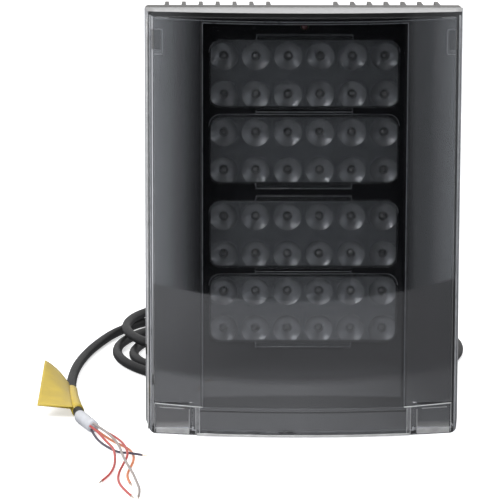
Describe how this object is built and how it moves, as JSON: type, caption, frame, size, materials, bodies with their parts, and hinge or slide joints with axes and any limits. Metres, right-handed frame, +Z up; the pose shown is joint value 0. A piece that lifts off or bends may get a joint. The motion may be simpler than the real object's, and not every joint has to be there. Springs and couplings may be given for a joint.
{
  "type": "security illuminator",
  "caption": "Rectangular infrared floodlight with banks of emitters behind a bulged clear cover, a finned rear housing, a tilting and panning wall bracket and a trailing supply cable.",
  "frame": {"origin": "bottom centre of the unit with its bracket, without the cable, its coil and what is on it", "axes": "+Z up, -Y out of the front cover, +Y towards the wall, +X to the right of someone who looks at the front"},
  "size_m": [0.2546, 0.495, 0.242],
  "materials": {
    "housing_paint": "die cast, with a dark satin powder coat",
    "bracket_paint": "die cast, with a dark satin powder coat",
    "clear_cover": "clear moulding",
    "gasket_rubber": "matt",
    "mask_black": "glossy black moulding",
    "frame_black": "fine matt texture",
    "clear_insert": "slightly hazy clear moulding",
    "clear_lens": "clear moulding",
    "light_board": "black solder mask",
    "emitter": "dark package with a clear dome",
    "thermal_pad": "soft grey sheet",
    "zinc_steel": "zinc plated",
    "black_steel": "blackened",
    "driver_laminate": "green solder mask",
    "capacitor_can": "sleeved can",
    "choke_core": "wound core",
    "chip_black": "moulded package",
    "terminal_green": "moulded block",
    "photocell_red": "dark red window",
    "inner_wire": "insulated wire",
    "cable_black": "satin jacket",
    "gland_black": "moulded nylon",
    "label_yellow": "folded film, left bare",
    "sleeve_white": "shrink sleeve",
    "core_black": "insulated core",
    "core_red": "insulated core",
    "core_orange": "insulated core",
    "core_grey": "insulated core"
  },
  "bodies": {
    "housing": {"heat_sink_housing": "housing_paint", "front_cover": "clear_cover", "cover_gasket": "gasket_rubber", "front_mask": "mask_black", "insert_frame": "frame_black", "lens_insert_1": "clear_insert", "lens_insert_2": "clear_insert", "lens_insert_3": "clear_insert", "lens_insert_4": "clear_insert", "collimator_array_1": "clear_lens", "collimator_array_2": "clear_lens", "collimator_array_3": "clear_lens", "collimator_array_4": "clear_lens", "led_emitters_1": "emitter", "led_emitters_2": "emitter", "led_emitters_3": "emitter", "led_emitters_4": "emitter", "led_board_1": "light_board", "led_board_2": "light_board", "led_board_3": "light_board", "led_board_4": "light_board", "thermal_pads": "thermal_pad", "led_board_screws": "zinc_steel", "cover_screws": "zinc_steel", "cover_screw_seals": "gasket_rubber", "driver_board": "driver_laminate", "driver_screws": "zinc_steel", "capacitors": "capacitor_can", "chokes": "choke_core", "control_chips": "chip_black", "terminal_block": "terminal_green", "photocell_board": "driver_laminate", "photocell": "photocell_red", "led_wires": "inner_wire", "cable_inner_end": "cable_black", "gland_body": "gland_black", "gland_locknut": "gland_black", "gland_seal": "gasket_rubber", "gland_nut": "gland_black", "strain_boot": "gasket_rubber", "bracket_mount": "bracket_paint", "bracket_screws": "black_steel", "tilt_bolt": "black_steel", "tilt_nut": "black_steel", "cable_lead": "cable_black", "cable_coil": "cable_black", "cable_tail": "cable_black", "cable_flag": "label_yellow", "cable_end_sleeve": "sleeve_white", "core_wire_black": "core_black", "core_wire_red_left": "core_red", "core_wire_red_right": "core_red", "core_wire_orange": "core_orange", "core_wire_grey": "core_grey"},
    "arm": {"bracket_arm": "bracket_paint"},
    "foot": {"wall_foot": "bracket_paint", "pan_bolt": "black_steel", "pan_nut": "black_steel"}
  },
  "joints": [
    {"name": "tilt", "type": "hinge", "parent": "housing", "child": "arm", "pos_m": [0, 0.0157, 0.14], "axis": [1, 0, 0], "range_deg": [-35, 45]},
    {"name": "pan", "type": "hinge", "parent": "arm", "child": "foot", "pos_m": [0, 0.0557, 0.14], "axis": [0, 0, 1], "range_deg": [-45, 45]}
  ]
}
